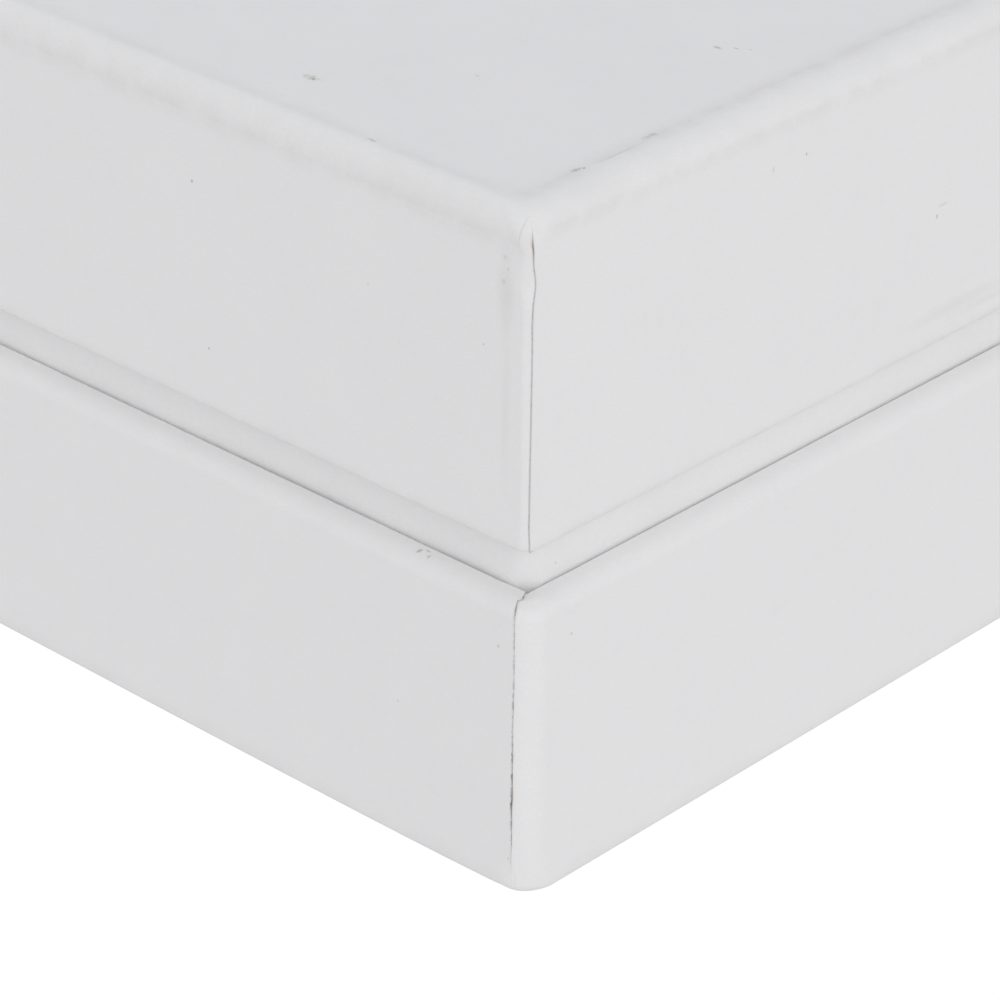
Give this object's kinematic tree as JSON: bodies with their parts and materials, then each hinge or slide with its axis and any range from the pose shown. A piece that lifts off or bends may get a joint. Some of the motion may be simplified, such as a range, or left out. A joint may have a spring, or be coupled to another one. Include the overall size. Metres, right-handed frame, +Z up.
{
  "type": "jewelry gift box",
  "caption": "Square paper-wrapped rigid gift box: base tray, inner neck with a narrow reveal gap, lift-off lid and slit velvet jewelry pad.",
  "frame": {"origin": "centre of the box's flat underside", "axes": "+Z up, the way the lid lifts; the four walls face +X, -X, +Y and -Y, and the ribbon pull is at the +Y wall"},
  "size_m": [0.1, 0.1, 0.06],
  "materials": {
    "outer_paper": "matte",
    "neck_paper": "matte",
    "liner_paper": "matte",
    "greyboard": "matte",
    "insert_card": "matte",
    "stay_tape": "matte",
    "fixing_tape": "satin",
    "pad_foam": "matte",
    "velvet": "matte",
    "satin": "satin"
  },
  "bodies": {
    "base": {"base_board": "greyboard", "base_wrap": "outer_paper", "base_liner": "liner_paper", "neck_board": "greyboard", "neck_wrap": "neck_paper", "neck_joint_tape": "stay_tape", "insert_riser": "insert_card", "base_corner_stay_1": "stay_tape", "base_corner_stay_2": "stay_tape", "base_corner_stay_3": "stay_tape", "base_corner_stay_4": "stay_tape", "neck_fixing_tape_1": "fixing_tape", "neck_fixing_tape_2": "fixing_tape", "neck_fixing_tape_3": "fixing_tape", "neck_fixing_tape_4": "fixing_tape"},
    "pad": {"pad_board": "greyboard", "foam_pad": "pad_foam", "velvet_cover": "velvet", "ribbon_pull": "satin"},
    "lid": {"lid_board": "greyboard", "lid_wrap": "outer_paper", "lid_liner": "liner_paper", "lid_pad_card": "greyboard", "lid_pad_foam": "pad_foam", "lid_pad_cover": "satin", "lid_corner_stay_1": "stay_tape", "lid_corner_stay_2": "stay_tape", "lid_corner_stay_3": "stay_tape", "lid_corner_stay_4": "stay_tape"}
  },
  "joints": [
    {"name": "lid_lift", "type": "slide", "parent": "base", "child": "lid", "axis": [0, 0, 1], "range_m": [0, 0.08]},
    {"name": "pad_lift", "type": "slide", "parent": "base", "child": "pad", "axis": [0, 0, 1], "range_m": [0, 0.016]}
  ]
}
